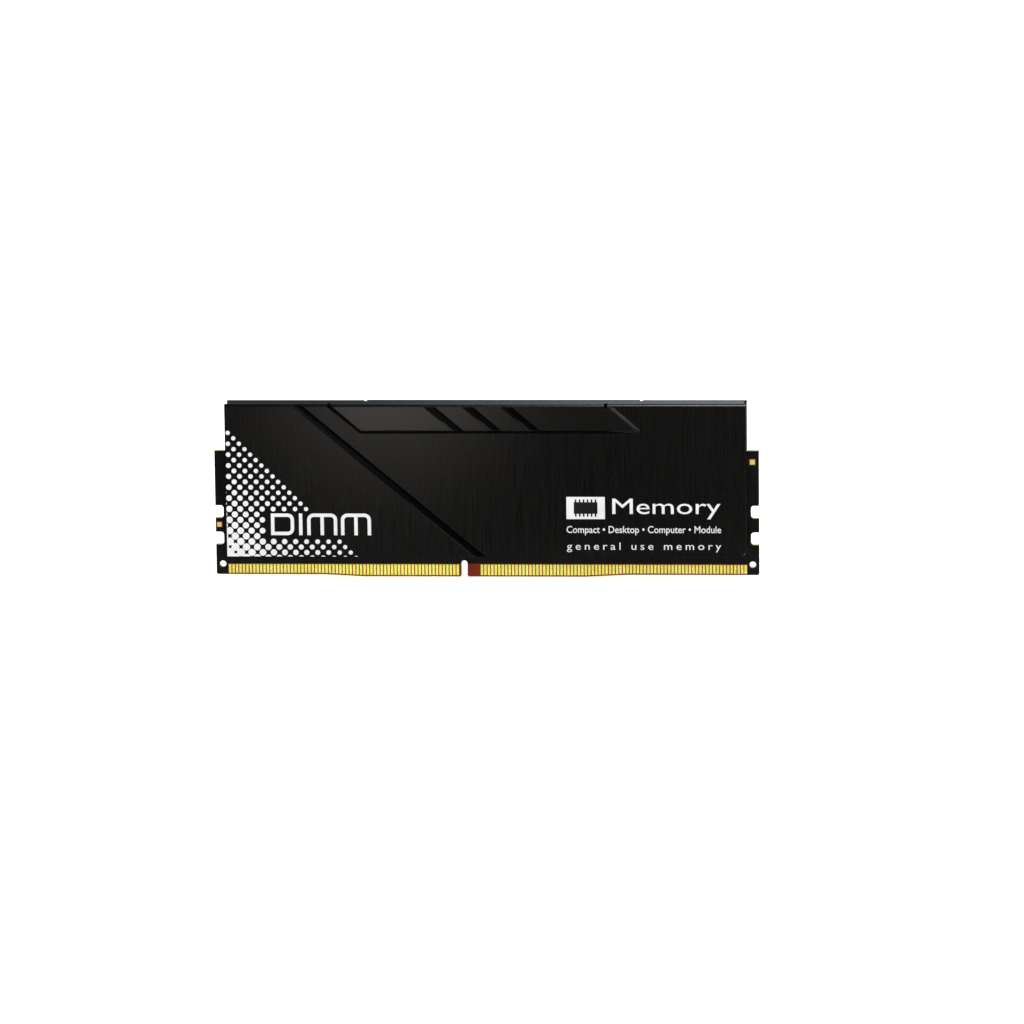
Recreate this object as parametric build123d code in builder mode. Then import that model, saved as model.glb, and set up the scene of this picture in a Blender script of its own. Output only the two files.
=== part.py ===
from build123d import *
import os
from math import atan2, cos, degrees, radians, sin, tan

os.makedirs("parts", exist_ok=True)

# Desktop memory module: a 288-contact circuit board between two folded aluminium heat
# spreaders. X runs along the board, -Y is the printed front and +Z points up. The origin
# is the middle of the contact edge, halfway through the board. Sizes are in millimetres.

# Circuit board
board_length = 133.35
board_height = 31.25
board_corner_radius = 0.5  # of the two lower corners
laminate_thickness = 1.34
film_thickness = 0.03  # solder mask and gold plating, on each face of the laminate

# Contact edge: the ends are stepped up, and ramps lead down to the low middle stretch
edge_step = 0.5
ramp_length = 10.2
low_edge_start = 36.5  # from the left end of the board
low_edge_end = 90.9

key_from_left = 61.1
key_width = 1.5
key_height = 4.0
key_mouth_chamfer = 0.3

notch_depth = 2.0
notch_height = 3.15
notch_radius = 0.75
notch_centres_z = (9.5, 16.1)

tooling_hole_radius = 0.8
tooling_hole_inset = 1.6
tooling_hole_z = 3.05

# Gold contacts
contact_pitch = 0.85
contact_width = 0.60
contact_top = 2.98
contact_setback = 0.35  # bare laminate below each contact
left_contacts = 67
right_contacts = 77
left_first_contact = 3.35  # from the left end of the board
right_first_contact = 65.40
mask_window_margin = 0.2

# Square ground pads on the tabs beside the plates: side and place from the nearer end
ground_pads = (("left", 1.1, 0.9, 12.9), ("right", 1.2, 1.6, 28.5))
pad_mask_gap = 0.25

# Memory chips: ball grid packages, four on each side of the middle of the board
chips_per_half = 4
chip_width = 7.5
chip_height = 11.0
chip_thickness = 0.8
chip_pitch = 13.2
chip_first_x = 12.0
chip_centre_z = 17.6
chip_edge_chamfer = 0.08
pin_one_dimple_radius = 0.4
pin_one_dimple_depth = 0.06
pin_one_inset = 1.1

ball_height = 0.3
ball_radius = 0.22
ball_pitch = 0.8
ball_rows = 13
ball_bank_columns = 3
ball_bank_centre = 2.4  # of each bank of columns, from the middle of the chip

# Small parts soldered beside the chips
capacitor_size = (1.0, 0.5, 0.5)  # along X, along Z, proud of the board
capacitor_gap = 0.9  # clear of the chip above and below
array_size = (2.0, 1.0, 0.4)
array_centre_z = 7.4
array_pitch = 3.3
arrays_per_half = 9
array_first_x = 10.2
identity_chip_size = (2.0, 3.0, 0.75)
identity_chip_centre_z = 18.0

# Heat spreaders
pad_thickness = 0.7
pad_overhang = 1.25  # past the outermost chips, all round
plate_thickness = 1.2
plate_length = 127.35
plate_bottom = 5.4
plate_top = 43.2
seam_half_gap = 0.2  # between the two top flanges, from the middle plane
bend_radius = 0.6
flange_inset = 0.5  # of each end of the top flange, from the end of the plate
plate_corner_chamfer = 1.2
plate_corner_radius = 0.4

# Pressed features of the plate face: every slant runs down to the right at one angle
slant_angle = 40.0
pressed_wall = 0.8  # width of the sloping wall round the raised panel
groove_wall = 0.5  # width of each sloping wall of the slashes and the channel
panel_rise = 0.4
panel_bottom = 36.0
panel_top_left = -39.0
panel_top_right = 30.6
panel_corner_radius = 1.0  # lower left, the blunt corner
panel_tip_radius = 0.6  # lower right, the sharp corner
slash_depth = 0.32
slash_width = 1.7
slash_pitch = 9.35
slash_middle_x = -4.0  # of the middle slash, where it meets the bend
slash_count = 3
channel_depth = 0.45
channel_width = 1.75
channel_top_x = -46.4
relief_inset = 1.0  # from the foot of the panel's slant, at the top of the plate
relief_width = 0.75
relief_depth = 1.9  # from the plate face into the flange
relief_drop = 0.8  # below the top of the flange

# Rear label
label_size = (58.0, 24.0)
label_centre = (32.0, 20.0)
label_thickness = 0.1
label_corner_radius = 1.0

# Derived places
board_end = board_length / 2
board_half = laminate_thickness / 2
board_skin = board_half + film_thickness
key_x = key_from_left - board_end
low_left = low_edge_start - board_end
low_right = low_edge_end - board_end
left_first_x = left_first_contact - board_end
right_first_x = right_first_contact - board_end
right_last_x = right_first_x + (right_contacts - 1) * contact_pitch
chip_underside = board_skin + ball_height
chip_top = chip_underside + chip_thickness
plate_inner = chip_top + pad_thickness
plate_face = plate_inner + plate_thickness
plate_end = plate_length / 2
panel_face = plate_face + panel_rise
relief_left = panel_top_left + relief_inset
relief_right = panel_top_right - relief_inset
slant_run = 1 / tan(radians(slant_angle))  # sideways travel for each unit of drop
cut_margin = 1.0

chip_xs = [side * (chip_first_x + n * chip_pitch) for side in (-1, 1) for n in range(chips_per_half)]
chip_xs.sort()

# Sketch planes seen from the front and from behind: both have Z up and face outwards
outward = {
    "front": Plane.XZ,
    "rear": Plane(origin=(0, 0, 0), x_dir=(-1, 0, 0), z_dir=(0, 1, 0)),
}


def save(piece, name):
    """Labels a finished piece and writes its STEP file."""
    piece.label = name
    export_step(piece, f"parts/{name}.step")


def edge_height(x):
    """Height of the stepped contact edge at a place along the board."""
    beyond = max(low_left - x, x - low_right, 0)
    return edge_step * min(beyond / ramp_length, 1)


def board_outline(plane):
    """Board profile with its stepped edge, key slot, latch notches and tooling holes."""
    with BuildSketch(plane) as outline:
        with BuildLine():
            Polyline(
                (-board_end, edge_step),
                (low_left - ramp_length, edge_step),
                (low_left, 0),
                (low_right, 0),
                (low_right + ramp_length, edge_step),
                (board_end, edge_step),
                (board_end, board_height),
                (-board_end, board_height),
                close=True,
            )
        make_face()
        fillet(outline.vertices().group_by(Axis.X)[0].sort_by(Axis.Y)[0], radius=board_corner_radius)
        fillet(outline.vertices().group_by(Axis.X)[-1].sort_by(Axis.Y)[0], radius=board_corner_radius)
        with Locations((key_x, 0)):
            Rectangle(key_width, 2 * (key_height - key_width / 2), mode=Mode.SUBTRACT)
        with Locations((key_x, key_height - key_width / 2)):
            Circle(key_width / 2, mode=Mode.SUBTRACT)
        mouth = key_width / 2 + key_mouth_chamfer
        with Locations((key_x, 0)):
            Polygon((-mouth, 0), (mouth, 0), (0, mouth), align=None, mode=Mode.SUBTRACT)
        notches = [(side * board_end, z) for side in (-1, 1) for z in notch_centres_z]
        with Locations(*notches):
            RectangleRounded(2 * notch_depth, notch_height, notch_radius, mode=Mode.SUBTRACT)
        hole_x = board_end - tooling_hole_inset
        with Locations((-hole_x, tooling_hole_z), (hole_x, tooling_hole_z)):
            Circle(tooling_hole_radius, mode=Mode.SUBTRACT)
    return outline.sketch


def ground_pad_places():
    """Side length and centre of each ground pad, as seen from the front."""
    places = []
    for end, size, inset, z in ground_pads:
        x = board_end - inset
        places.append((size, (-x if end == "left" else x, z)))
    return places


def solder_mask(plane, pads):
    """Mask film: the board outline, open over the contacts and round the ground pads."""
    window_left = left_first_x - contact_width / 2 - mask_window_margin
    window_right = right_last_x + contact_width / 2 + mask_window_margin
    window_top = contact_top + mask_window_margin
    window_length = window_right - window_left
    with BuildPart() as mask:
        with BuildSketch(plane):
            add(board_outline(plane))
            with Locations(((window_left + window_right) / 2, 0)):
                Rectangle(window_length, 2 * window_top, mode=Mode.SUBTRACT)
            for size, centre in pads:
                with Locations(centre):
                    Rectangle(size + 2 * pad_mask_gap, size + 2 * pad_mask_gap, mode=Mode.SUBTRACT)
        extrude(amount=film_thickness)
    return mask.part


def contact_row(plane, first_x, count):
    """A row of gold contacts, each reaching down to its setback above the contact edge."""
    with BuildPart() as row:
        with BuildSketch(plane):
            for number in range(count):
                x = first_x + number * contact_pitch
                bottom = edge_height(x) + contact_setback
                with Locations((x, (bottom + contact_top) / 2)):
                    Rectangle(contact_width, contact_top - bottom)
        extrude(amount=film_thickness)
    return row.part


def memory_chip(side, x):
    """One chip package with softened top edges and a dimple at its first ball."""
    dimple_x = x - chip_width / 2 + pin_one_inset
    dimple_z = chip_centre_z + chip_height / 2 - pin_one_inset
    with BuildPart() as chip:
        with BuildSketch(outward[side].offset(chip_underside)):
            with Locations((x, chip_centre_z)):
                Rectangle(chip_width, chip_height)
        extrude(amount=chip_thickness)
        top_face = chip.faces().sort_by(Axis(origin=(0, 0, 0), direction=outward[side].z_dir))[-1]
        chamfer(top_face.edges(), length=chip_edge_chamfer)
        with BuildSketch(outward[side].offset(chip_top)):
            with Locations((dimple_x, dimple_z)):
                Circle(pin_one_dimple_radius)
        extrude(amount=-pin_one_dimple_depth, mode=Mode.SUBTRACT)
    return chip.part


def solder_balls(side):
    """The balls under every chip of one side, two banks of columns to a chip."""
    banks = [(x + half * ball_bank_centre, chip_centre_z) for x in chip_xs for half in (-1, 1)]
    with BuildPart() as balls:
        with BuildSketch(outward[side].offset(board_skin)):
            with Locations(*banks):
                with GridLocations(ball_pitch, ball_pitch, ball_bank_columns, ball_rows):
                    Circle(ball_radius)
        extrude(amount=ball_height)
    return balls.part


def small_parts(side, size, centres):
    """Equal blocks standing on the solder mask of one side."""
    length, height, rise = size
    with BuildPart() as blocks:
        with BuildSketch(outward[side].offset(board_skin)):
            with Locations(*centres):
                Rectangle(length, height)
        extrude(amount=rise)
    return blocks.part


def capacitor_places():
    """Two capacitors above and two below every chip."""
    reach = chip_height / 2 + capacitor_gap
    spread = chip_width / 4
    return [
        (x + across * spread, chip_centre_z + up * reach)
        for x in chip_xs
        for across in (-1, 1)
        for up in (-1, 1)
    ]


def array_places():
    """Resistor arrays in one line under the chips, either side of the key slot."""
    return [
        (side * (array_first_x + n * array_pitch), array_centre_z)
        for side in (-1, 1)
        for n in range(arrays_per_half)
    ]


def thermal_pad(side):
    """One soft pad over all the chips of a side."""
    length = 2 * chip_xs[-1] + chip_width + 2 * pad_overhang
    height = chip_height + 2 * pad_overhang
    with BuildPart() as pad:
        with BuildSketch(outward[side].offset(chip_top)):
            with Locations((0, chip_centre_z)):
                Rectangle(length, height)
        extrude(amount=pad_thickness)
    return pad.part


def slanted_trough(x, z, face, depth, width, wall):
    """Cutter for a groove with sloping walls that passes a point of the face at the slant."""
    slope = wall / depth
    lift = panel_rise
    top_half = width / 2 + lift * slope
    floor_half = width / 2 - wall
    along = (cos(radians(slant_angle)), 0, -sin(radians(slant_angle)))
    across = (sin(radians(slant_angle)), 0, cos(radians(slant_angle)))
    with BuildPart() as trough:
        with BuildSketch(Plane(origin=(x, -face, z), x_dir=across, z_dir=along)):
            Polygon(
                (-floor_half, -depth),
                (floor_half, -depth),
                (top_half, lift),
                (-top_half, lift),
                align=None,
            )
        extrude(amount=plate_length / 2, both=True)
    return trough.part


def slash(x):
    """Cutter for one short slash of the panel, from the bend down to the panel's lower edge."""
    low = panel_bottom + pressed_wall
    high = plate_top - bend_radius
    with BuildPart() as cutter:
        add(slanted_trough(x, high, panel_face, slash_depth, slash_width, groove_wall))
        with BuildSketch(Plane.XY.offset(low)):
            Rectangle(plate_length, 4 * panel_face)
        extrude(amount=high - low, mode=Mode.INTERSECT)
    return cutter.part


def bend_corner(face, start, end):
    """Cutter that rounds the fold between a face and the top flange over one stretch."""
    with BuildPart() as corner:
        with BuildSketch(Plane.YZ.offset(start)):
            with Locations((-face, plate_top)):
                Rectangle(2 * bend_radius, 2 * bend_radius)
            with Locations((-face + bend_radius, plate_top - bend_radius)):
                Circle(bend_radius, mode=Mode.SUBTRACT)
            with Locations((-face + bend_radius, plate_top - 2 * bend_radius)):
                Rectangle(bend_radius, 2 * bend_radius, mode=Mode.SUBTRACT)
        extrude(amount=end - start)
    return corner.part


def raised_panel():
    """The panel pressed out of the plate: sloping walls at its sides and foot, open at the top."""
    above = plate_top + cut_margin + panel_rise
    sloped = slant_run * (above - panel_bottom)
    top_shift = slant_run * (above - plate_top)
    left = panel_top_left - top_shift
    right = panel_top_right - top_shift
    with BuildPart() as panel:
        with BuildSketch(Plane.XZ.offset(plate_face)) as foot:
            with BuildLine():
                Polyline(
                    (left, above),
                    (right, above),
                    (right + sloped, panel_bottom),
                    (left + sloped, panel_bottom),
                    close=True,
                )
            make_face()
            fillet(foot.vertices().group_by(Axis.Y)[0].sort_by(Axis.X)[0], radius=panel_corner_radius)
            fillet(foot.vertices().group_by(Axis.Y)[0].sort_by(Axis.X)[-1], radius=panel_tip_radius)
        extrude(amount=panel_rise, taper=degrees(atan2(pressed_wall, panel_rise)))
        with BuildSketch(Plane.XY.offset(plate_top)):
            Rectangle(plate_length, 4 * panel_face)
        extrude(amount=2 * cut_margin + panel_rise, mode=Mode.SUBTRACT)
    return panel.part


def relief_cuts():
    """Cutters for the two short relief notches where the raised panel's fold begins and ends."""
    high = plate_top + cut_margin
    low = plate_top - relief_drop
    with BuildPart() as cuts:
        with BuildSketch(Plane.XZ.offset(plate_face - relief_depth)):
            with Locations((relief_left, (low + high) / 2), (relief_right, (low + high) / 2)):
                Rectangle(relief_width, high - low)
        extrude(amount=relief_depth + panel_rise + cut_margin)
    return cuts.part


def heat_spreader():
    """The front plate: wall, top flange, raised panel, slashes, channel and relief notches."""
    with BuildPart() as spreader:
        with BuildSketch(Plane.XZ.offset(plate_inner)) as wall:
            with Locations((0, plate_bottom)):
                Rectangle(plate_length, plate_top - plate_bottom, align=(Align.CENTER, Align.MIN))
            chamfer(wall.vertices().group_by(Axis.Y)[0].sort_by(Axis.X)[-1], length=plate_corner_chamfer)
            fillet(wall.vertices().group_by(Axis.Y)[0].sort_by(Axis.X)[0], radius=plate_corner_radius)
        extrude(amount=plate_thickness)
        with BuildSketch(Plane.XY.offset(plate_top)):
            with Locations((0, -seam_half_gap)):
                flange_length = plate_length - 2 * flange_inset
                Rectangle(flange_length, plate_face - seam_half_gap, align=(Align.CENTER, Align.MAX))
        extrude(amount=-plate_thickness)
        add(raised_panel())
        add(bend_corner(plate_face, -plate_end, relief_left), mode=Mode.SUBTRACT)
        add(bend_corner(panel_face, relief_left, relief_right), mode=Mode.SUBTRACT)
        add(bend_corner(plate_face, relief_right, plate_end), mode=Mode.SUBTRACT)
        for number in range(slash_count):
            offset = number - (slash_count - 1) / 2
            add(slash(slash_middle_x + offset * slash_pitch), mode=Mode.SUBTRACT)
        trough = slanted_trough(
            channel_top_x, plate_top, plate_face, channel_depth, channel_width, groove_wall
        )
        add(trough, mode=Mode.SUBTRACT)
        add(relief_cuts(), mode=Mode.SUBTRACT)
    return spreader.part


def specification_label():
    """Plain sticker on the rear plate, clear of the channel and the raised panel."""
    with BuildPart() as label:
        with BuildSketch(outward["rear"].offset(plate_face)):
            with Locations(label_centre):
                RectangleRounded(*label_size, label_corner_radius)
        extrude(amount=label_thickness)
    return label.part


with BuildPart() as circuit_board:
    extrude(board_outline(Plane.XZ), amount=board_half, both=True)
save(circuit_board.part, "circuit_board")

with BuildPart() as ground_pad_film:
    with BuildSketch(Plane.XZ.offset(board_half)):
        for size, centre in ground_pad_places():
            with Locations(centre):
                Rectangle(size, size)
    extrude(amount=film_thickness)
save(ground_pad_film.part, "ground_pads")

# The films are drawn from the front on both faces, so that they follow one board outline
film_planes = {
    "front": Plane.XZ.offset(board_half),
    "rear": Plane.XZ.offset(-board_skin),
}
for side, plane in film_planes.items():
    save(solder_mask(plane, ground_pad_places() if side == "front" else []), f"solder_mask_{side}")
    save(contact_row(plane, left_first_x, left_contacts), f"contacts_{side}_left")
    save(contact_row(plane, right_first_x, right_contacts), f"contacts_{side}_right")

for side in outward:
    for number, x in enumerate(chip_xs, start=1):
        save(memory_chip(side, x), f"memory_chip_{side}_{number}")
    save(solder_balls(side), f"solder_balls_{side}")
    save(small_parts(side, capacitor_size, capacitor_places()), f"capacitors_{side}")
    save(small_parts(side, array_size, array_places()), f"resistor_arrays_{side}")
    save(thermal_pad(side), f"thermal_pad_{side}")

save(small_parts("front", identity_chip_size, [(0, identity_chip_centre_z)]), "identity_chip")

front_plate = heat_spreader()
save(front_plate, "heat_spreader_front")
with BuildPart() as heat_spreader_rear:
    add(front_plate, rotation=(0, 0, 180))
save(heat_spreader_rear.part, "heat_spreader_rear")

save(specification_label(), "specification_label")
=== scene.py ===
"""Looks of a desktop memory module: black anodised plates, white ink, gold contacts."""

import bmesh
import bpy
import math
from mathutils import Matrix, Vector


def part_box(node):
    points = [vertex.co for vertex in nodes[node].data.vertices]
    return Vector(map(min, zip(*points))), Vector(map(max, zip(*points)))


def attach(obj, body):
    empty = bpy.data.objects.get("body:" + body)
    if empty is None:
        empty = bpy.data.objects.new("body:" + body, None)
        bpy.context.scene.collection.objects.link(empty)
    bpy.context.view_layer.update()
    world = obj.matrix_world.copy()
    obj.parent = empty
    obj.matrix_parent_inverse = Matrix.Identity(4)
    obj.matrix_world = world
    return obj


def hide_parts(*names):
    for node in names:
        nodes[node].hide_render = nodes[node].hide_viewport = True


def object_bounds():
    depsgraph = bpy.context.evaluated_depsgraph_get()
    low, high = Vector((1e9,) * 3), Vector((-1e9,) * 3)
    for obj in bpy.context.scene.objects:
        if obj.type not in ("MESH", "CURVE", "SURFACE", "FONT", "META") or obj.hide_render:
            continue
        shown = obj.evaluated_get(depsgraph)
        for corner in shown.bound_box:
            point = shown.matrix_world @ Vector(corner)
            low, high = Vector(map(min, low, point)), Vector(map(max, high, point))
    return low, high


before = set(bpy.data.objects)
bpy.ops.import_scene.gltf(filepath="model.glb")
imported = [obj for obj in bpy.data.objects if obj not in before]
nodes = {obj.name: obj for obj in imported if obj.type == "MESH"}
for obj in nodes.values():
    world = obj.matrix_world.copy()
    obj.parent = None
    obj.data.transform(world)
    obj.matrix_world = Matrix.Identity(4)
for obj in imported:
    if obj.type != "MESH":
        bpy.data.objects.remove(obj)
cad_low, cad_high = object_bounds()

MM = 0.001
plate_low, plate_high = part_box("heat_spreader_front")
board_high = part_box("circuit_board")[1]
label_low, label_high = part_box("specification_label")

PANEL_RISE = 0.4 * MM
PLATE_FACE_Y = plate_low.y + PANEL_RISE
INK_FILM = 0.012 * MM
RELIEF = 0.02 * MM
LAMINATE_HALF = board_high.y - 0.01 * MM


# ---------------------------------------------------------------- shader helpers


class Nodes:
    """Short names for building one material's node tree."""

    def __init__(self, tree):
        self.tree = tree

    def add(self, kind, **settings):
        node = self.tree.nodes.new(kind)
        for name, value in settings.items():
            setattr(node, name, value)
        return node

    def link(self, output, socket):
        self.tree.links.new(output, socket)

    def object_place(self):
        """Object coordinates, in metres."""
        return self.add("ShaderNodeTexCoord").outputs["Object"]

    def axes(self, vector):
        """X, Y and Z of a vector, each as an output."""
        split = self.add("ShaderNodeSeparateXYZ")
        self.link(vector, split.inputs[0])
        return split.outputs

    def noise(self, vector, scale, detail=3.0, roughness=0.55):
        node = self.add("ShaderNodeTexNoise")
        node.inputs["Scale"].default_value = scale
        node.inputs["Detail"].default_value = detail
        node.inputs["Roughness"].default_value = roughness
        self.link(vector, node.inputs["Vector"])
        return node.outputs["Fac"]

    def ramp(self, value, low, high, out_low=0.0, out_high=1.0):
        node = self.add("ShaderNodeMapRange")
        node.inputs["From Min"].default_value = low
        node.inputs["From Max"].default_value = high
        node.inputs["To Min"].default_value = out_low
        node.inputs["To Max"].default_value = out_high
        self.link(value, node.inputs["Value"])
        return node.outputs["Result"]

    def mix(self, factor, first, second):
        """A colour between two, each given as a colour or as an output."""
        node = self.add("ShaderNodeMix", data_type="RGBA")
        self.link(factor, node.inputs["Factor"])
        for socket, value in ((node.inputs[6], first), (node.inputs[7], second)):
            if isinstance(value, (tuple, list)):
                socket.default_value = (*value, 1.0)
            else:
                self.link(value, socket)
        return node.outputs[2]

    def calc(self, first, second, operation="ADD"):
        """Arithmetic on two values, each given as a number or as an output."""
        node = self.add("ShaderNodeMath", operation=operation)
        for socket, value in zip(node.inputs, (first, second)):
            if isinstance(value, (int, float)):
                socket.default_value = value
            else:
                self.link(value, socket)
        return node.outputs[0]

    def group(self, name, **values):
        node = self.add("ShaderNodeGroup", node_tree=bpy.data.node_groups[name])
        for socket, value in values.items():
            node.inputs[socket].default_value = value
        return node


def new_material(name):
    """An empty material with its Principled shader: returns material, helper and shader."""
    material = bpy.data.materials.new(name)
    material.use_nodes = True
    shader = material.node_tree.nodes["Principled BSDF"]
    return material, Nodes(material.node_tree), shader


def bump(n, height, strength, shader):
    """Fine relief of a surface, of one depth for every finish here."""
    node = n.add("ShaderNodeBump")
    node.inputs["Strength"].default_value = strength
    node.inputs["Distance"].default_value = RELIEF
    n.link(height, node.inputs["Height"])
    n.link(node.outputs["Normal"], shader.inputs["Normal"])


def new_group(name, inputs, outputs):
    """A shader node group with named number inputs: returns its helper and end nodes."""
    tree = bpy.data.node_groups.new(name, "ShaderNodeTree")
    for socket, value in inputs.items():
        made = tree.interface.new_socket(socket, in_out="INPUT", socket_type="NodeSocketFloat")
        made.default_value = value
    for socket in outputs:
        tree.interface.new_socket(socket, in_out="OUTPUT", socket_type="NodeSocketFloat")
    n = Nodes(tree)
    return n, n.add("NodeGroupInput"), n.add("NodeGroupOutput")


def make_brushed_grain():
    """Fine upright scratches: long in Z, narrow in X, with a slow drift along the part."""
    n, enter, leave = new_group(
        "Brushed Grain", {"Fineness": 4200.0, "Length": 120.0}, ("Scratches", "Drift")
    )
    place = n.object_place()
    joined = n.add("ShaderNodeCombineXYZ")
    for axis, socket, scale in zip(n.axes(place), joined.inputs, ("Fineness", "Length", "Length")):
        n.link(n.calc(axis, enter.outputs[scale], "MULTIPLY"), socket)
    n.link(n.noise(joined.outputs[0], 1.0, detail=4.0, roughness=0.7), leave.inputs["Scratches"])
    n.link(n.noise(place, 55.0, detail=2.0), leave.inputs["Drift"])


def make_fine_speckle():
    """Even fine grain for moulded, printed and coated surfaces."""
    n, enter, leave = new_group("Fine Speckle", {"Scale": 6000.0}, ("Speckle", "Cloud"))
    place = n.object_place()
    fine = n.add("ShaderNodeTexNoise")
    fine.inputs["Detail"].default_value = 3.0
    n.link(place, fine.inputs["Vector"])
    n.link(enter.outputs["Scale"], fine.inputs["Scale"])
    n.link(fine.outputs["Fac"], leave.inputs["Speckle"])
    n.link(n.noise(place, 180.0, detail=2.0), leave.inputs["Cloud"])


make_brushed_grain()
make_fine_speckle()


# ---------------------------------------------------------------- materials


def anodised_aluminium(name, dark, light, grain_depth, rough_low, rough_high):
    """Black dyed aluminium, brushed upright."""
    material, n, shader = new_material(name)
    grain = n.group("Brushed Grain")
    streak = n.ramp(grain.outputs["Scratches"], 0.3, 0.7)
    drift = n.ramp(grain.outputs["Drift"], 0.3, 0.7)
    tone = n.calc(n.calc(streak, 0.75, "MULTIPLY"), n.calc(drift, 0.25, "MULTIPLY"))
    n.link(n.mix(tone, dark, light), shader.inputs["Base Color"])
    n.link(n.ramp(streak, 0, 1, rough_low, rough_high), shader.inputs["Roughness"])
    bump(n, grain.outputs["Scratches"], grain_depth, shader)
    shader.inputs["Metallic"].default_value = 0.0
    shader.inputs["IOR"].default_value = 1.5
    shader.inputs["Specular IOR Level"].default_value = 0.09
    return material


def coated_surface(
    name, first, second, roughness, scale=6000.0, depth=0.15, metallic=0.0, shine=0.4
):
    """A painted, moulded or plated surface with a fine speckle and a slow cloud of tone."""
    material, n, shader = new_material(name)
    speckle = n.group("Fine Speckle", Scale=scale)
    tone = n.ramp(speckle.outputs["Cloud"], 0.3, 0.7)
    n.link(n.mix(tone, first, second), shader.inputs["Base Color"])
    low, high = roughness
    n.link(n.ramp(speckle.outputs["Speckle"], 0.3, 0.7, low, high), shader.inputs["Roughness"])
    bump(n, speckle.outputs["Speckle"], depth, shader)
    shader.inputs["Metallic"].default_value = metallic
    shader.inputs["Specular IOR Level"].default_value = shine
    return material


def bare_laminate(name):
    """Reddish glass laminate on its two broad faces, and pale resin along its cut edges."""
    material, n, shader = new_material(name)
    speckle = n.group("Fine Speckle", Scale=8000.0)
    tone = n.ramp(speckle.outputs["Cloud"], 0.3, 0.7)
    broad = n.mix(tone, (0.135, 0.014, 0.004), (0.175, 0.024, 0.007))
    cut = n.mix(tone, (0.50, 0.47, 0.25), (0.62, 0.58, 0.34))
    depth = n.axes(n.object_place())[1]
    inside = n.calc(n.calc(depth, 0, "ABSOLUTE"), LAMINATE_HALF, "LESS_THAN")
    n.link(n.mix(inside, broad, cut), shader.inputs["Base Color"])
    n.link(n.ramp(speckle.outputs["Speckle"], 0.3, 0.7, 0.6, 0.8), shader.inputs["Roughness"])
    bump(n, speckle.outputs["Speckle"], 0.4, shader)
    shader.inputs["Specular IOR Level"].default_value = 0.08
    return material


brushed_plate = anodised_aluminium(
    "Brushed Anodised Plate", (0.0006, 0.0006, 0.0006), (0.0026, 0.0025, 0.0023), 0.18, 0.24, 0.36
)
satin_panel = coated_surface(
    "Satin Anodised Panel", (0.0008, 0.0008, 0.0007), (0.0014, 0.0013, 0.0012), (0.26, 0.32),
    depth=0.05, shine=0.15,
)
# Near-black for grooves, notches and walls in shadow: painted shade, darker and less shiny than the
# plate.
painted_groove_shade = coated_surface(
    "Groove Painted Shade", (0.0004, 0.0004, 0.0004), (0.0009, 0.0009, 0.0008), (0.20, 0.26),
    depth=0.04, shine=0.02,
)
white_ink = coated_surface(
    "White Ink", (0.61, 0.61, 0.61), (0.68, 0.68, 0.68), (0.42, 0.52), scale=9000.0, depth=0.10
)
black_ink = coated_surface(
    "Black Ink", (0.003, 0.003, 0.003), (0.006, 0.006, 0.006), (0.5, 0.6), shine=0.05
)
gold = coated_surface(
    "Gold Plating", (0.86, 0.80, 0.15), (0.93, 0.90, 0.24), (0.22, 0.34),
    scale=12000.0, depth=0.08, metallic=1.0,
)
gold_pad = coated_surface(
    "Gold Pad", (0.66, 0.56, 0.15), (0.74, 0.66, 0.24), (0.3, 0.4),
    scale=9000.0, depth=0.08, metallic=0.25,
)
laminate = bare_laminate("Bare Laminate")
solder_mask = coated_surface(
    "Black Solder Mask", (0.0018, 0.0018, 0.002), (0.0038, 0.0038, 0.004), (0.26, 0.36),
    scale=3000.0, shine=0.08,
)
chip_moulding = coated_surface(
    "Chip Moulding", (0.018, 0.018, 0.018), (0.028, 0.028, 0.028), (0.5, 0.65)
)
solder_metal = coated_surface(
    "Solder", (0.55, 0.55, 0.57), (0.72, 0.72, 0.74), (0.25, 0.4), metallic=1.0
)
capacitor_clay = coated_surface(
    "Capacitor Ceramic", (0.32, 0.20, 0.11), (0.45, 0.30, 0.18), (0.35, 0.5)
)
resistor_glaze = coated_surface(
    "Resistor Glaze", (0.015, 0.015, 0.017), (0.03, 0.03, 0.033), (0.2, 0.3)
)
soft_pad = coated_surface(
    "Thermal Pad", (0.30, 0.32, 0.35), (0.40, 0.42, 0.45), (0.75, 0.9), depth=0.5
)
label_film = coated_surface(
    "Label Film", (0.74, 0.74, 0.73), (0.80, 0.80, 0.79), (0.30, 0.38), depth=0.06
)

finish_by_word = {
    "circuit_board": laminate,
    "ground_pads": gold_pad,
    "contacts": gold,
    "solder_mask": solder_mask,
    "memory_chip": chip_moulding,
    "identity_chip": chip_moulding,
    "solder_balls": solder_metal,
    "capacitors": capacitor_clay,
    "resistor_arrays": resistor_glaze,
    "thermal_pad": soft_pad,
    "specification_label": label_film,
    "heat_spreader": brushed_plate,
}
for name, node in nodes.items():
    for word, material in finish_by_word.items():
        if name.startswith(word):
            node.data.materials.clear()
            node.data.materials.append(material)


# ---------------------------------------------------------------- piece helpers


def place_piece(name, mesh, materials=()):
    """Links a finished mesh as a piece that rides on the module."""
    for material in materials:
        mesh.materials.append(material)
    piece = bpy.data.objects.new(name, mesh)
    bpy.context.scene.collection.objects.link(piece)
    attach(piece, "root")
    return piece


def mesh_from(name, bm):
    mesh = bpy.data.meshes.new(name)
    bm.to_mesh(mesh)
    bm.free()
    return mesh


# ---------------------------------------------------------------- heat spreaders

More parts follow.
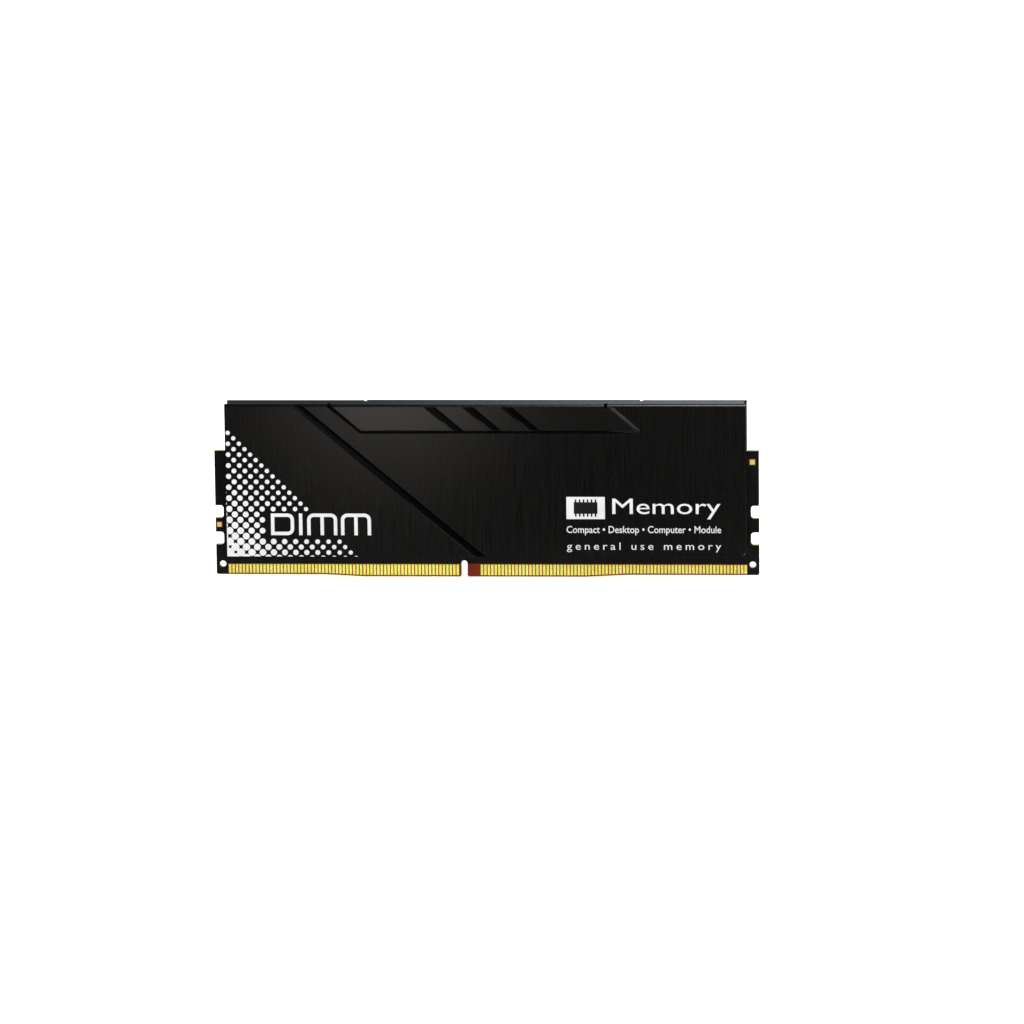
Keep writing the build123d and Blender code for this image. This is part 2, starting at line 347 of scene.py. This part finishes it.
PRESSED_EDGE_WIDTH = 0.16 * MM
CUT_EDGE_SHARE = 0.55
LEAST_ROLLED = 1.5 * MM
LOW_CORNER = 1.3 * MM
FLAT = 0.98
SLOPED = 0.45
LEVEL_SLACK = 0.03 * MM
WELD = 0.0005 * MM
FLAT_ENOUGH = math.radians(0.6)
DEEPEST_GROOVE = 0.6 * MM
NOTCH_LOW = plate_high.z - 0.85 * MM
NOTCH_CENTRES = (-38.0 * MM, 29.6 * MM)
NOTCH_REACH = 0.45 * MM
LIT_WALL_FROM = 25 * MM
GENTLE_TURN = math.radians(17)
SHARP_TURN = math.radians(52)
BRUSHED, SATIN, PAINTED_SHADE = 0, 1, 2


def finish_of(face, way):
    """Brushed on the plate, satin on the raised panel, and a near-black painted shade in grooves,
    in the notches and on walls that face away from the light.
    """
    facing = abs(face.normal.y)
    middle = face.calc_center_median()
    depth = abs(middle.y)
    along = middle.x * way
    face_level = abs(PLATE_FACE_Y)
    panel_level = face_level + PANEL_RISE
    if middle.z > NOTCH_LOW and any(abs(along - centre) < NOTCH_REACH for centre in NOTCH_CENTRES):
        return PAINTED_SHADE
    if facing > FLAT and abs(depth - panel_level) < LEVEL_SLACK:
        return SATIN
    if facing > FLAT and abs(depth - face_level) < LEVEL_SLACK:
        return BRUSHED
    # The panel wall that faces the light keeps the brushed finish; the other walls take the painted
    # shade.
    lit_wall = along > LIT_WALL_FROM and face.normal.x * way > 0
    in_skin = depth > face_level - DEEPEST_GROOVE and facing > SLOPED and middle.z < NOTCH_LOW
    return PAINTED_SHADE if in_skin and not lit_wall else BRUSHED


def soften_plate(side, way):
    """A welded copy of one plate whose pressed edges roll over softly and whose cut edges break."""
    node = nodes[f"heat_spreader_{side}"]
    bm = bmesh.new()
    bm.from_mesh(node.data)
    bmesh.ops.remove_doubles(bm, verts=bm.verts, dist=WELD)
    bmesh.ops.dissolve_limit(
        bm, angle_limit=FLAT_ENOUGH, verts=bm.verts, edges=bm.edges, delimit=set()
    )
    weight = bm.edges.layers.float.new("bevel_weight_edge")
    for edge in bm.edges:
        turn = edge.calc_face_angle(0.0)
        edge.smooth = turn < GENTLE_TURN
        if edge.calc_length() < LEAST_ROLLED or turn < GENTLE_TURN:
            continue
        lowest = max(v.co.z for v in edge.verts) < plate_low.z + LOW_CORNER
        edge[weight] = CUT_EDGE_SHARE if turn > SHARP_TURN and not lowest else 1.0
    for face in bm.faces:
        face.smooth = True
        face.material_index = finish_of(face, way)
    mesh = mesh_from(f"plate_{side}", bm)
    finishes = (brushed_plate, satin_panel, painted_groove_shade)
    plate = place_piece(f"plate_{side}", mesh, finishes)
    roll = plate.modifiers.new("Softened edges", "BEVEL")
    roll.width = PRESSED_EDGE_WIDTH
    roll.segments = 3
    roll.limit_method = "WEIGHT"
    roll.use_clamp_overlap = False
    level = plate.modifiers.new("Flat faces stay flat", "WEIGHTED_NORMAL")
    level.weight = 100
    level.keep_sharp = True
    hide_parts(node.name)


soften_plate("front", 1)
soften_plate("rear", -1)


# ---------------------------------------------------------------- printed dots

DOT_PITCH = 2.70 * MM
DOT_FIRST = Vector((-62.9 * MM, 36.2 * MM))
DOT_SIDES = 20
ROWS_BELOW = 3  # rows that start below the plate and are cut by its edge
UPRIGHT = Matrix.Rotation(math.radians(90), 4, "X")
INK_MARGIN = 0.09 * MM
CLEAR_FROM_X = -54.1 * MM
CLEAR_LOW_Z = 10.2 * MM
CLEAR_HIGH_Z = 17.0 * MM
SMALLEST_DOT = 0.53
DOT_GROWTH = 0.009
DOT_SWELL = 11e-6


def dot_radius(reach):
    """Radius of a dot, from how far it is below the slanted edge of the pattern."""
    reach_mm = max(reach, 0) / MM
    return (SMALLEST_DOT + DOT_GROWTH * reach_mm + DOT_SWELL * reach_mm**3) * MM


def trim(bm, faces, point, outward):
    """Cuts loose faces with a plane and drops what is outside it."""
    corners = {v for f in faces for v in f.verts}
    sides = {e for f in faces for e in f.edges}
    geometry = faces + list(corners | sides)
    cut = bmesh.ops.bisect_plane(
        bm, geom=geometry, dist=1e-9, plane_co=point, plane_no=outward, clear_outer=True
    )
    return [g for g in cut["geom"] if isinstance(g, bmesh.types.BMFace)]


def add_dot(bm, x, z, radius):
    """One round dot of ink on the plate, cut to its own diamond and to the plate's edges."""
    made = bmesh.ops.create_circle(
        bm, cap_ends=True, segments=DOT_SIDES, radius=radius,
        matrix=Matrix.Translation((x, PLATE_FACE_Y, z)) @ UPRIGHT,
    )
    faces = list({f for v in made["verts"] for f in v.link_faces})
    half = DOT_PITCH / 2
    planes = []
    if radius > half / math.sqrt(2):
        for across in (-1, 1):
            for up in (-1, 1):
                planes.append(((x + across * half, 0, z), (across, 0, up)))
    if x - radius < plate_low.x + INK_MARGIN:
        planes.append(((plate_low.x + INK_MARGIN, 0, 0), (-1, 0, 0)))
    if z - radius < plate_low.z + INK_MARGIN:
        planes.append(((0, 0, plate_low.z + INK_MARGIN), (0, 0, -1)))
    for point, outward in planes:
        faces = trim(bm, faces, point, outward)


def print_dots():
    """The triangle of dots: a half-pitch staggered grid below a slanted line."""
    bm = bmesh.new()
    half = DOT_PITCH / 2
    rows = int((DOT_FIRST.y - plate_low.z) / half) + ROWS_BELOW
    for row in range(rows):
        z = DOT_FIRST.y - row * half
        for column in range(-1, row + 1):
            if (row + column) % 2:
                continue
            x = DOT_FIRST.x + column * half
            if x > CLEAR_FROM_X and CLEAR_LOW_Z < z < CLEAR_HIGH_Z:
                continue
            reach = (DOT_FIRST.x + DOT_FIRST.y) - (x + z)
            add_dot(bm, x, z, dot_radius(reach))
    return bm


def thicken(bm, depth):
    """Gives flat ink faces their thickness towards -Y and closes them."""
    grown = bmesh.ops.extrude_face_region(bm, geom=list(bm.faces), use_keep_orig=True)
    moved = [g for g in grown["geom"] if isinstance(g, bmesh.types.BMVert)]
    bmesh.ops.translate(bm, verts=moved, vec=(0, -depth, 0))
    bmesh.ops.recalc_face_normals(bm, faces=bm.faces)


dots = print_dots()
thicken(dots, INK_FILM)
place_piece("printed_dots", mesh_from("printed_dots", dots), (white_ink,))


# ---------------------------------------------------------------- printed words


def word_mesh(name, words, spacing, boldness):
    """Upright mesh of a line of words in the plain face, a unit thick, with its corner at 0."""
    curve = bpy.data.curves.new(name, "FONT")
    curve.body = words
    curve.space_character = spacing
    curve.offset = boldness
    curve.resolution_u = 3
    curve.extrude = 0.5
    holder = bpy.data.objects.new(name, curve)
    bpy.context.scene.collection.objects.link(holder)
    bpy.context.view_layer.update()
    depsgraph = bpy.context.evaluated_depsgraph_get()
    mesh = bpy.data.meshes.new_from_object(holder.evaluated_get(depsgraph))
    bpy.data.objects.remove(holder)
    bpy.data.curves.remove(curve)
    mesh.transform(UPRIGHT)
    low = [min(v.co[axis] for v in mesh.vertices) for axis in range(3)]
    mesh.transform(Matrix.Translation([-corner for corner in low]))
    return mesh


def print_words(
    name, words, left, low, width, height, spacing=1.0, boldness=0.0, rear=False
):
    """Words fitted to a box, on the front plate or, turned round, on the rear label."""
    mesh = word_mesh(name, words, spacing, boldness)
    wide = max(v.co.x for v in mesh.vertices)
    tall = max(v.co.z for v in mesh.vertices)
    mesh.transform(Matrix.Diagonal((width / wide, INK_FILM, height / tall, 1)))
    if rear:
        mesh.transform(Matrix.Rotation(math.radians(180), 4, "Z"))
        mesh.transform(Matrix.Translation((left, label_high.y + INK_FILM, low)))
    else:
        mesh.transform(Matrix.Translation((left, PLATE_FACE_Y - INK_FILM, low)))
    bm = bmesh.new()
    bm.from_mesh(mesh)
    bpy.data.meshes.remove(mesh)
    bmesh.ops.remove_doubles(bm, verts=bm.verts, dist=1e-8)
    ink = black_ink if rear else white_ink
    return place_piece(name, mesh_from(name, bm), (ink,))


LETTER_HIGH = 5.4 * MM
LETTER_STROKE = 0.85 * MM
LETTER_CORNER = 1.6 * MM
LETTERS_LEFT = -52.7 * MM
LETTERS_LOW = 10.8 * MM
FIRST_WIDTH = 5.7 * MM
UPRIGHT_START = 6.9 * MM
ARCH_STARTS = (8.9 * MM, 17.2 * MM)
ARCH_WIDTH = 7.4 * MM


def ink_rectangle(bm, left, low, width, height):
    """A flat rectangular face on the plate, facing out."""
    made = bmesh.ops.create_grid(
        bm, x_segments=1, y_segments=1, size=0.5,
        matrix=Matrix.Translation((left + width / 2, PLATE_FACE_Y, low + height / 2))
        @ UPRIGHT
        @ Matrix.Diagonal((width, height, 1, 1)),
    )
    return made["verts"]


def ring_letter(bm, left, low, width, height, rounded):
    """A stroke round a rectangle; rounded picks the corners that turn softly."""
    verts = ink_rectangle(bm, left, low, width, height)
    middle = Vector((left + width / 2, 0, low + height / 2))
    soft = [v for v in verts if rounded(v.co - middle)]
    faces = set(verts[0].link_faces)
    made = bmesh.ops.bevel(
        bm, geom=soft, offset=LETTER_CORNER, offset_type="OFFSET", affect="VERTICES", segments=6,
        profile=0.5, material=-1,
    )
    faces = {f for f in faces if f.is_valid} | {f for v in made["verts"] for f in v.link_faces}
    centre_face = list(faces)
    bmesh.ops.inset_region(
        bm, faces=centre_face, thickness=LETTER_STROKE, use_even_offset=True, use_boundary=True
    )
    bmesh.ops.delete(bm, geom=centre_face, context="FACES")


def print_kind():
    """Four wide letters in an even stroke: a closed ring, an upright, and two open arches."""
    bm = bmesh.new()
    foot = 2 * LETTER_STROKE
    for start in ARCH_STARTS:
        ring_letter(
            bm, LETTERS_LEFT + start, LETTERS_LOW - foot, ARCH_WIDTH, LETTER_HIGH + foot,
            lambda way: way.z > 0,
        )
    everything = list(bm.verts) + list(bm.edges) + list(bm.faces)
    bmesh.ops.bisect_plane(
        bm, geom=everything, dist=1e-9, plane_co=(0, 0, LETTERS_LOW), plane_no=(0, 0, -1),
        clear_outer=True,
    )
    for start in ARCH_STARTS:
        stem_left = LETTERS_LEFT + start + (ARCH_WIDTH - LETTER_STROKE) / 2
        ink_rectangle(bm, stem_left, LETTERS_LOW, LETTER_STROKE, LETTER_HIGH - LETTER_STROKE)
    ring_letter(
        bm, LETTERS_LEFT, LETTERS_LOW, FIRST_WIDTH, LETTER_HIGH, lambda way: way.x > 0
    )
    ink_rectangle(bm, LETTERS_LEFT + UPRIGHT_START, LETTERS_LOW, LETTER_STROKE, LETTER_HIGH)
    thicken(bm, INK_FILM)
    place_piece("printed_kind", mesh_from("printed_kind", bm), (white_ink,))


print_kind()

WORDS_LEFT = 19.8
WORDS_WIDTH = 37.7
TAGLINE = "Compact • Desktop • Computer • Module"
# name, words, left, low, width and height in mm, spacing, boldness
front_lines = (
    ("printed_title", "Memory", 31.0, 14.9, 26.4, 5.1, 1.0, 0.0),
    ("printed_tagline", TAGLINE, WORDS_LEFT, 10.9, WORDS_WIDTH, 2.3, 1.0, 0.006),
    ("printed_small_line", "general use memory", WORDS_LEFT, 6.7, WORDS_WIDTH, 2.4, 1.45, 0.0),
)
for name, words, left, low, width, height, spacing, boldness in front_lines:
    print_words(
        name, words, left * MM, low * MM, width * MM, height * MM, spacing, boldness
    )


# ---------------------------------------------------------------- printed chip sign

SIGN_LEFT = 19.8 * MM
SIGN_LOW = 14.9 * MM
SIGN_SIZE = Vector((9.4 * MM, 5.5 * MM))
SIGN_GAP = 0.006 * MM
CHIP_SIZE = Vector((5.8 * MM, 2.9 * MM))
LEG_SIZE = Vector((0.4 * MM, 0.7 * MM))
LEGS = 6


def ink_block(bm, left, low, width, height, nearest, film):
    """A flat rectangular block of ink between two depths in front of the plate."""
    bmesh.ops.create_cube(
        bm, size=1,
        matrix=Matrix.Translation((left + width / 2, nearest + film / 2, low + height / 2))
        @ Matrix.Diagonal((width, film, height, 1)),
    )


field = bmesh.new()
ink_block(field, SIGN_LEFT, SIGN_LOW, SIGN_SIZE.x, SIGN_SIZE.y, PLATE_FACE_Y - INK_FILM, INK_FILM)
place_piece(
    "printed_sign_field", mesh_from("printed_sign_field", field), (white_ink,)
)

sign = bmesh.new()
sign_front = PLATE_FACE_Y - INK_FILM - SIGN_GAP
chip_corner = Vector((SIGN_LEFT, SIGN_LOW)) + (SIGN_SIZE - CHIP_SIZE) / 2
ink_block(sign, chip_corner.x, chip_corner.y, CHIP_SIZE.x, CHIP_SIZE.y, sign_front, SIGN_GAP)
for number in range(LEGS):
    leg_x = chip_corner.x + (number + 0.5) * CHIP_SIZE.x / LEGS - LEG_SIZE.x / 2
    for leg_z in (chip_corner.y - LEG_SIZE.y, chip_corner.y + CHIP_SIZE.y):
        ink_block(sign, leg_x, leg_z, LEG_SIZE.x, LEG_SIZE.y, sign_front, SIGN_GAP)
place_piece("printed_sign_chip", mesh_from("printed_sign_chip", sign), (black_ink,))

# ---------------------------------------------------------------- rear label print

LABEL_MARGIN = 2.0 * MM
BAR_LOW = 2.2 * MM
BAR_HIGH = 5.0 * MM
BAR_STEPS = (1, 2, 1, 1, 3, 1, 2, 2, 1, 1, 1, 3, 2, 1, 1, 2, 3, 1, 1, 1, 2, 1, 3, 1, 1, 2, 1, 2, 1)
BAR_UNIT = 0.34 * MM
RULE_LOW = 8.6 * MM
RULE_HIGH = 0.18 * MM
SQUARE_LOW = 12.6 * MM
CELL = 0.55 * MM
CELLS = 14


def print_label():
    """Plain words, a ruled line, bars and a speckled square."""
    right = label_high.x - LABEL_MARGIN
    left = label_low.x + LABEL_MARGIN
    lines = (
        ("label_title", "MEMORY MODULE", 27.4, 25.0, 2.5),
        ("label_kind", "DESKTOP DIMM  288 CONTACTS", 24.2, 30.0, 1.7),
        ("label_care", "Handle by the edges only", 21.0, 22.0, 1.8),
        ("label_fit", "Fit with the notch over the key", 17.9, 26.0, 1.8),
    )
    for name, words, low, width, height in lines:
        print_words(name, words, right, low * MM, width * MM, height * MM, rear=True)
    bm = bmesh.new()
    face = label_high.y
    x = right
    for number, steps in enumerate(BAR_STEPS):
        width = steps * BAR_UNIT
        if number % 2 == 0:
            ink_block(bm, x - width, label_low.z + BAR_LOW, width, BAR_HIGH, face, INK_FILM)
        x -= width
    ink_block(bm, left, label_low.z + RULE_LOW, right - left, RULE_HIGH, face, INK_FILM)
    for row in range(CELLS):
        for column in range(CELLS):
            edge = row == 0 or column == 0
            if edge or (row * 5 + column * 3 + row * column) % 4 in (0, 3):
                cell_z = label_low.z + SQUARE_LOW + row * CELL
                ink_block(bm, left + column * CELL, cell_z, CELL, CELL, face, INK_FILM)
    place_piece("label_marks", mesh_from("label_marks", bm), (black_ink,))


print_label()

# ---------------------------------------------------------------- camera

FRAME_PIXELS = 1024
CAMERA_TURN = math.radians(4.28)
CAMERA_RISE = math.radians(10.45)
CAMERA_ROLL = math.radians(-0.7)
CAMERA_DISTANCE = 1.5
PIXELS_PER_METRE = 4090
AIM_RIGHT = 6.27 * MM
AIM_UP = -5.56 * MM

centre = (cad_low + cad_high) / 2
back = Vector(
    (
        math.sin(CAMERA_TURN) * math.cos(CAMERA_RISE),
        -math.cos(CAMERA_TURN) * math.cos(CAMERA_RISE),
        math.sin(CAMERA_RISE),
    )
)
right = Vector((math.cos(CAMERA_TURN), math.sin(CAMERA_TURN), 0))
up = back.cross(right)
rolled_right = right * math.cos(CAMERA_ROLL) + up * math.sin(CAMERA_ROLL)
rolled_up = up * math.cos(CAMERA_ROLL) - right * math.sin(CAMERA_ROLL)
camera_data = bpy.data.cameras.new("camera")
camera = bpy.data.objects.new("camera", camera_data)
bpy.context.scene.collection.objects.link(camera)
bpy.context.scene.camera = camera
camera_data.sensor_width = 36.0
frame_width = FRAME_PIXELS / PIXELS_PER_METRE
camera_data.lens = camera_data.sensor_width * CAMERA_DISTANCE / frame_width
camera_data.clip_start = 0.05
camera_data.clip_end = 50
aim = Vector((0, 0, centre.z)) + rolled_right * AIM_RIGHT + rolled_up * AIM_UP
turned = Matrix((rolled_right, rolled_up, back)).transposed().to_4x4()
camera.matrix_world = Matrix.Translation(aim + back * CAMERA_DISTANCE) @ turned

# ---------------------------------------------------------------- floor and light

FLOOR_HALF = 30.0
FLOOR_GLOW = 0.45

# Two cards that only polished faces mirror.
CARD_HALF = 0.16
FRONT_CARD_Y = -0.10
BACK_CARD_Y = 0.15
PATCH_CENTRE = (-0.034, 0.034)
PATCH_RADII = (0.039, 0.034)
PATCH_LIGHT = 7.9
STRIP_FADE = (-0.014, -0.018)
STRIP_LIGHT = 1.20
RIGHT_FADE = (0.012, 0.045)
RIGHT_FOOT = (-0.006, 0.014)
RIGHT_CARD_LIGHT = 0.40
BACK_FADE = (-0.05, 0.065)
BACK_CARD_LIGHT = (0.10, 0.85)
WARM_GLOW = (1.0, 0.95, 0.88)
COOL_GLOW = (0.82, 0.92, 1.0)

# The room, by direction: along is to the right, depth is away, height is up.
ROOM_LIGHT = 1.20
ROOM_DARK = 0.004
BAND_FOOT = (-0.55, -0.30)
BAND_TOP = (0.34, 0.16)
SIDES = (0.25, 0.60)
FRONT_DEPTH = (0.10, -0.55)
FRONT_LIGHT = (0.12, 0.85)
BACK_DEPTH = (0.45, 0.85)
BACK_HEIGHT = (-0.04, 0.08)
BACK_LIGHT = 0.15
CORNER_ALONG = (0.25, 0.45)
CORNER_HEIGHT = (-0.40, -0.55)
CORNER_LIGHT = 30.0
RIGHT_ALONG = (0.35, 0.85)
RIGHT_LIGHT = 0.75
TINT_DEPTH = (-0.2, 0.6)
WARM_ROOM = (1.0, 0.985, 0.96)
COOL_ROOM = (0.80, 0.92, 1.0)


def soft_light(name, place, aim_at, size, power, colour=(1, 1, 1)):
    """A rectangular soft light that only adds sheen, and faces a point."""
    data = bpy.data.lights.new(name, "AREA")
    data.shape = "RECTANGLE"
    data.size, data.size_y = size
    data.energy = power
    data.color = colour
    light = bpy.data.objects.new(name, data)
    bpy.context.scene.collection.objects.link(light)
    light.location = place
    light.rotation_euler = (Vector(aim_at) - Vector(place)).to_track_quat("-Z", "Y").to_euler()
    light.visible_camera = False
    light.visible_diffuse = False


def studio_floor():
    """A wide pale floor. Sheen passes through it, so polished faces mirror the room instead."""
    bm = bmesh.new()
    bmesh.ops.create_grid(bm, x_segments=1, y_segments=1, size=FLOOR_HALF)
    mesh = mesh_from("floor", bm)
    floor = bpy.data.objects.new("floor", mesh)
    bpy.context.scene.collection.objects.link(floor)
    material, n, shader = new_material("Pale Floor")
    cloud = n.noise(n.object_place(), 40.0)
    n.link(n.mix(cloud, (0.97, 0.97, 0.97), (0.99, 0.99, 0.99)), shader.inputs["Base Color"])
    shader.inputs["Roughness"].default_value = 1.0
    shader.inputs["Specular IOR Level"].default_value = 0.0
    shader.inputs["Emission Color"].default_value = (1, 1, 1, 1)
    shader.inputs["Emission Strength"].default_value = FLOOR_GLOW
    mesh.materials.append(material)
    floor.visible_glossy = False


def sheen_cards():
    """Two faint glowing cards that only polished faces mirror: one in front, one behind."""
    bm = bmesh.new()
    for card_y in (FRONT_CARD_Y, BACK_CARD_Y):
        bmesh.ops.create_grid(
            bm, x_segments=1, y_segments=1, size=CARD_HALF,
            matrix=Matrix.Translation((0, card_y, 0)) @ UPRIGHT,
        )
    mesh = mesh_from("sheen_cards", bm)
    cards = bpy.data.objects.new("sheen_cards", mesh)
    bpy.context.scene.collection.objects.link(cards)
    material = bpy.data.materials.new("Card Glow")
    material.use_nodes = True
    material.node_tree.nodes.clear()
    n = Nodes(material.node_tree)
    along, depth, height = n.axes(n.object_place())
    across = n.calc(n.calc(along, PATCH_CENTRE[0], "SUBTRACT"), PATCH_RADII[0], "DIVIDE")
    up = n.calc(n.calc(height, PATCH_CENTRE[1], "SUBTRACT"), PATCH_RADII[1], "DIVIDE")
    squares = n.calc(n.calc(across, across, "MULTIPLY"), n.calc(up, up, "MULTIPLY"))
    away = n.calc(squares, 0.5, "POWER")
    patch = n.ramp(away, 1.0, 0.0, 0.0, PATCH_LIGHT)
    strip = n.ramp(height, *STRIP_FADE, 0.0, STRIP_LIGHT)
    beside = n.ramp(along, *RIGHT_FADE, 0.0, RIGHT_CARD_LIGHT)
    beside = n.calc(beside, n.ramp(height, *RIGHT_FOOT), "MULTIPLY")
    in_front = n.calc(n.calc(patch, strip), beside)
    behind = n.ramp(along, *BACK_FADE, *BACK_CARD_LIGHT)
    is_behind = n.calc(depth, 0, "GREATER_THAN")
    strength = n.add("ShaderNodeMix", data_type="FLOAT")
    n.link(is_behind, strength.inputs["Factor"])
    n.link(in_front, strength.inputs[2])
    n.link(behind, strength.inputs[3])
    glow = n.add("ShaderNodeEmission")
    n.link(n.mix(is_behind, WARM_GLOW, COOL_GLOW), glow.inputs["Color"])
    n.link(strength.outputs[0], glow.inputs["Strength"])
    clear = n.add("ShaderNodeBsdfTransparent")
    joined = n.add("ShaderNodeAddShader")
    n.link(glow.outputs[0], joined.inputs[0])
    n.link(clear.outputs[0], joined.inputs[1])
    n.link(joined.outputs[0], n.add("ShaderNodeOutputMaterial").inputs["Surface"])
    material.cycles.emission_sampling = "NONE"
    mesh.materials.append(material)
    cards.visible_camera = False
    cards.visible_diffuse = False
    cards.visible_shadow = False
    cards.visible_transmission = False


def studio_room():
    """Even white light on matt surfaces; polished ones mirror a bright band at eye level."""
    world = bpy.data.worlds.new("studio")
    bpy.context.scene.world = world
    world.use_nodes = True
    w = Nodes(world.node_tree)
    background = world.node_tree.nodes["Background"]
    along, depth, height = w.axes(w.add("ShaderNodeTexCoord").outputs["Generated"])

    def step(value, low, high):
        """Rises softly from 0 at low to 1 at high."""
        node = w.add("ShaderNodeMapRange", interpolation_type="SMOOTHSTEP")
        node.inputs["From Min"].default_value = low
        node.inputs["From Max"].default_value = high
        w.link(value, node.inputs["Value"])
        return node.outputs["Result"]

    def both(first, second):
        return w.calc(first, second, "MULTIPLY")

    band = both(step(height, *BAND_FOOT), step(height, *BAND_TOP))
    beside = w.ramp(w.calc(along, 0, "ABSOLUTE"), *SIDES, *FRONT_LIGHT)
    front = both(step(depth, *FRONT_DEPTH), beside)
    behind = both(both(step(depth, *BACK_DEPTH), step(height, *BACK_HEIGHT)), BACK_LIGHT)
    corner = both(both(step(along, *CORNER_ALONG), step(height, *CORNER_HEIGHT)), CORNER_LIGHT)
    right_side = both(step(along, *RIGHT_ALONG), RIGHT_LIGHT)
    glow = both(band, w.calc(w.calc(front, behind), right_side))
    sheen = w.calc(w.calc(glow, corner), ROOM_DARK)
    tint = w.mix(step(depth, *TINT_DEPTH), WARM_ROOM, COOL_ROOM)
    is_glossy = w.add("ShaderNodeLightPath").outputs["Is Glossy Ray"]
    strength = w.add("ShaderNodeMix", data_type="FLOAT")
    w.link(is_glossy, strength.inputs["Factor"])
    strength.inputs[2].default_value = ROOM_LIGHT
    w.link(sheen, strength.inputs[3])
    w.link(w.mix(is_glossy, (1.0, 1.0, 1.0), tint), background.inputs["Color"])
    w.link(strength.outputs[0], background.inputs["Strength"])


studio_floor()
studio_room()
bpy.context.scene.view_settings.view_transform = "Standard"
sheen_cards()
soft_light("right_rim", (0.203, -0.263, 0.208), (0.034, 0, 0.04), (0.06, 0.06), 0.18)
soft_light(
    "bend_line", (0.056, -0.12, 0.22), (0.052, 0, 0.043), (0.07, 0.05), 2.0, (1.0, 0.94, 0.92)
)
